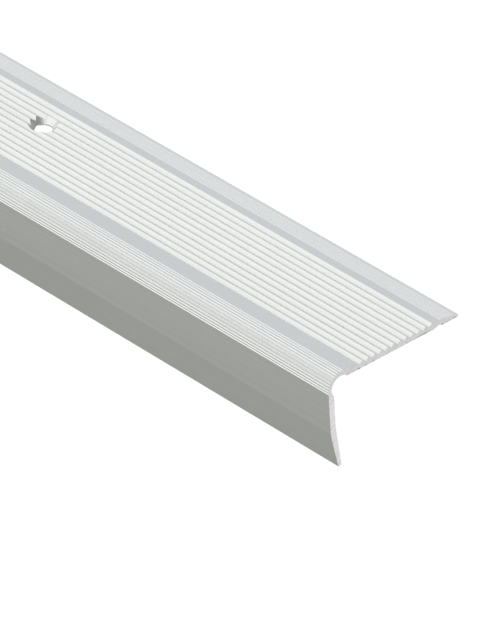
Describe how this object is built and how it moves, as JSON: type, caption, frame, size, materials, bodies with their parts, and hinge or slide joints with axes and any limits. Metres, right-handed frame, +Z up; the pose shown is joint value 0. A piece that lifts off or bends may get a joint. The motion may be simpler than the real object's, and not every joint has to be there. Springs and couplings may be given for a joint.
{
  "type": "stair nosing profile",
  "caption": "Angled metal edge strip for a stair tread: ribbed deck, grooved rounded nose, plain leaning leg and countersunk fixing holes.",
  "frame": {"origin": "axis of the middle fixing hole, at the underside of the deck where it lies on the tread", "axes": "+X along the stair edge, -Y to the front of the stair, +Z up"},
  "size_m": [0.9, 0.05, 0.0315],
  "materials": {
    "anodised_aluminium": "satin silver anodised, with faint drawing lines along the strip"
  },
  "bodies": {
    "root": {"nosing_profile": "anodised_aluminium"}
  },
  "joints": []
}
